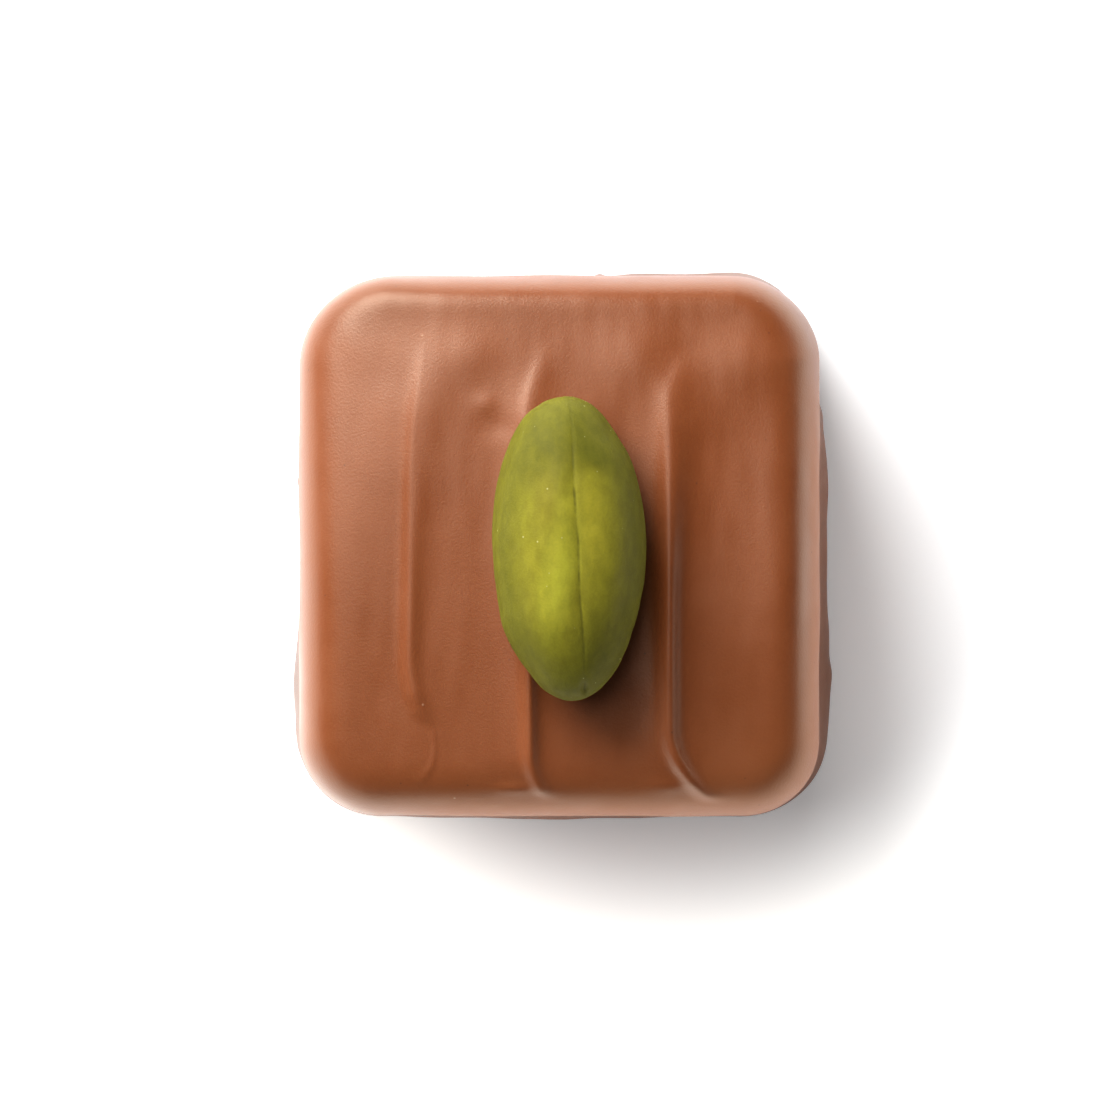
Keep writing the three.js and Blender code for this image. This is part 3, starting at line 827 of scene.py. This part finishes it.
# The kernel: an ellipsoid over (around, along) whose girth tapers, swells and narrows, with the crest of its
# rounded section beside the seam. A fine groove in a shallow valley and a notch are cut into its top.
def makeKernel():
    around, along = np.meshgrid(
        np.linspace(0, 2 * np.pi, kernel["around"], endpoint=False),
        np.linspace(0, np.pi, kernel["along"] + 1)[1:-1],
    )
    axis = np.cos(along)
    belt = np.sin(along)
    side, up = belt * np.cos(around), belt * np.sin(around)

    girth = 1 + kernel["taper"] * axis + kernel["crests"] * np.cos(3 * (around - kernel["crestAt"]))
    for bulge in kernelBulges:
        onSide = smoothStep(bulge["side"] * np.cos(around), *kernel["sideFade"])
        girth = girth + onSide * bulge["out"] * bell(axis - bulge["along"], bulge["reach"])
    facets = np.cos(kernel["facetCount"] * around + kernel["facetTwist"] * axis)
    girth = girth + kernel["facets"] * facets * belt

    offSeam = side - seamAcross(axis)
    groove = seam["depth"] * bell(offSeam, seam["width"]) * (1 - axis**4)
    valley = seam["valleyDepth"] * bell(offSeam, seam["valley"])
    valley = valley * smoothStep(np.abs(axis), *seam["valleyEnds"])
    slit = notch["depth"] * bell(axis - notch["along"], notch["length"]) * bell(offSeam, notch["width"])
    cut = (groove + valley + slit) * smoothStep(up, *seam["topFrom"])

    halfSizes = np.array([kernel["halfWidth"], kernel["halfLength"], kernel["halfHeight"]])
    points = np.stack([side * girth, axis, up * girth], axis=-1) * halfSizes
    points[..., 2] -= cut
    outwards = np.stack([side, axis, up], axis=-1) / halfSizes
    outwards = outwards / np.linalg.norm(outwards, axis=-1, keepdims=True)
    rough = uneven(points * [1, kernel["unevenStretch"], 1], **kernel["uneven"])
    rough = rough + uneven(points, **kernel["fine"])
    points = points + outwards * rough[..., None]

    numbers = np.arange(along.size).reshape(along.shape)
    numbers = np.hstack([numbers, numbers[:, :1]])
    blunt, small = along.size, along.size + 1
    tips = np.array([[0, kernel["halfLength"], 0], [0, -kernel["halfLength"], 0]])
    points = intoPlace(np.vstack([points.reshape(-1, 3), tips]))
    bluntFan = np.stack([np.full(kernel["around"], blunt), numbers[0, :-1], numbers[0, 1:]], axis=-1)
    smallFan = np.stack([np.full(kernel["around"], small), numbers[-1, 1:], numbers[-1, :-1]], axis=-1)
    faces = cells(numbers[::-1]).tolist() + bluntFan.tolist() + smallFan.tolist()
    piece = makePiece("pistachioKernel", points, faces, makePistachio())

    # The tips' values come last: both on the seam, at the two ends
    fromSeam = np.append(offSeam.ravel() * kernel["halfWidth"], [0, 0])
    alongMm = np.append(axis.ravel(), [1, -1]) * kernel["halfLength"]
    upShare = np.append(up.ravel(), [0, 0])
    spot = piece.data.attributes.new("onKernel", "FLOAT_VECTOR", "POINT")
    values = np.stack([fromSeam, alongMm, upShare], axis=-1).astype(np.float32)
    spot.data.foreach_set("vector", values.ravel())
    return piece


bodyPiece = makeBody()
print("chocolate body made:", len(bodyPiece.data.polygons), "faces")
kernelPiece = makeKernel()
print("pistachio kernel made:", len(kernelPiece.data.polygons), "faces")

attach(bodyPiece, "root")
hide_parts("chocolate_body")
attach(kernelPiece, "root")
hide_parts("pistachio_kernel")


studio = {
    "cameraMm": (-0.6, -0.2, 415.0),
    "viewWidthMm": 52.885,  # what the frame takes in at the level of the top
    "viewLevelMm": 15.0,
    "sensorMm": 36.0,
    "clipM": (0.01, 10.0),
    "floorSizeMm": 4000.0,
    "floorColour": (0.95, 0.95, 0.95, 1),
    "floorClouds": 0.995,  # how dark the darker clouds of the floor are
    "floorCloudsPerMetre": 40.0,
    "floorRoughness": 0.9,
    "overheadWhite": 0.07,
    "horizonWhite": 1.0,
    "horizonPower": 8.0,
    "nearSideWhite": 0.4,  # the horizon towards -Y
    "nearSideFade": (-0.9, -0.2),
    "broadPlaceMm": (-231.0, 231.0, 503.0),
    "broadSizeMm": 638.0,
    "broadWatts": 2.85,
    "keyPlaceMm": (-194.6, 277.9, 212.0),
    "keySizeMm": 323.0,
    "keyWatts": 3.7,
    "glowCentreMm": (6.0, 1.0, 0.0),  # the floor brightens away from this place
    "glowRangeMm": (14.5, 30.0),
    "glowNear": 0.24,
    "glowFar": 1.9,
    "glowColour": (1.0, 0.93, 0.8, 1),
}


# A pale floor, faintly clouded, that glows brighter away from the praline as an overlit ground does
def makeFloor():
    half = studio["floorSizeMm"] / 2
    points = np.array([[-half, -half, 0], [half, -half, 0], [half, half, 0], [-half, half, 0]])
    material, tree, shader, place = newMaterial("paleFloor")
    clouds = addRange(tree, addNoise(tree, place, studio["floorCloudsPerMetre"]), 0.3, 0.7)
    darker = (*[studio["floorClouds"] * c for c in studio["floorColour"][:3]], 1)
    tree.links.new(addMix(tree, clouds, studio["floorColour"], darker), shader.inputs["Base Color"])
    shader.inputs["Roughness"].default_value = studio["floorRoughness"]
    centre = tuple(metres(*studio["glowCentreMm"]))
    away = addNode(tree, "ShaderNodeVectorMath", {"operation": "DISTANCE"}, {1: centre})
    tree.links.new(place, away.inputs[0])
    share = addRange(tree, away.outputs["Value"], *metres(*studio["glowRangeMm"]))
    gain = studio["glowFar"] - studio["glowNear"]
    glow = addMath(tree, "MULTIPLY_ADD", share, gain, studio["glowNear"])
    tree.links.new(glow, shader.inputs["Emission Strength"])
    tint = addMix(tree, share, (1, 1, 1, 1), studio["glowColour"])
    tree.links.new(tint, shader.inputs["Emission Color"])
    floor = makePiece("floor", points, [(0, 1, 2, 3)], material)


# A round softbox that faces the praline
def addSoftLight(name, placeMm, sizeMm, watts):
    light = bpy.data.lights.new(name, "AREA")
    light.energy = watts
    light.shape = "DISK"
    light.size = sizeMm * metresPerMm
    lamp = bpy.data.objects.new(name, light)
    lamp.location = metres(*placeMm)
    lamp.rotation_mode = "QUATERNION"
    lamp.rotation_quaternion = (-lamp.location).to_track_quat("-Z", "Y")
    lamp.visible_camera = False
    bpy.context.collection.objects.link(lamp)


# White all round: dim overhead, and brighter towards the horizon by a power of how low it is
def makeWorld():
    world = bpy.data.worlds.new("studioWhite")
    bpy.context.scene.world = world
    world.use_nodes = True
    tree = world.node_tree
    _, alongY, up = addParts(tree, tree.nodes.new("ShaderNodeTexCoord").outputs["Generated"])
    low = addMath(tree, "SUBTRACT", 1.0, up, clamp=True)
    low = addMath(tree, "POWER", low, studio["horizonPower"])
    white = addRange(tree, alongY, *studio["nearSideFade"], studio["nearSideWhite"], studio["horizonWhite"])
    strength = addMath(tree, "MULTIPLY_ADD", low, white, studio["overheadWhite"])
    tree.links.new(strength, tree.nodes["Background"].inputs["Strength"])
    tree.nodes["Background"].inputs["Color"].default_value = (1, 1, 1, 1)


# The camera looks straight down, and its lens follows from the width that the frame takes in
def makeCamera():
    camera = bpy.data.cameras.new("overhead")
    camera.sensor_width = studio["sensorMm"]
    away = studio["cameraMm"][2] - studio["viewLevelMm"]
    camera.lens = studio["sensorMm"] * away / studio["viewWidthMm"]
    camera.clip_start, camera.clip_end = studio["clipM"]
    overhead = bpy.data.objects.new("overhead", camera)
    overhead.location = metres(*studio["cameraMm"])
    bpy.context.collection.objects.link(overhead)
    bpy.context.scene.camera = overhead


def makeStudio():
    makeFloor()
    makeWorld()
    addSoftLight("broadSoftbox", studio["broadPlaceMm"], studio["broadSizeMm"], studio["broadWatts"])
    addSoftLight("keySoftbox", studio["keyPlaceMm"], studio["keySizeMm"], studio["keyWatts"])
    makeCamera()
    bpy.context.scene.view_settings.view_transform = "Standard"


makeStudio()
print("studio ready")
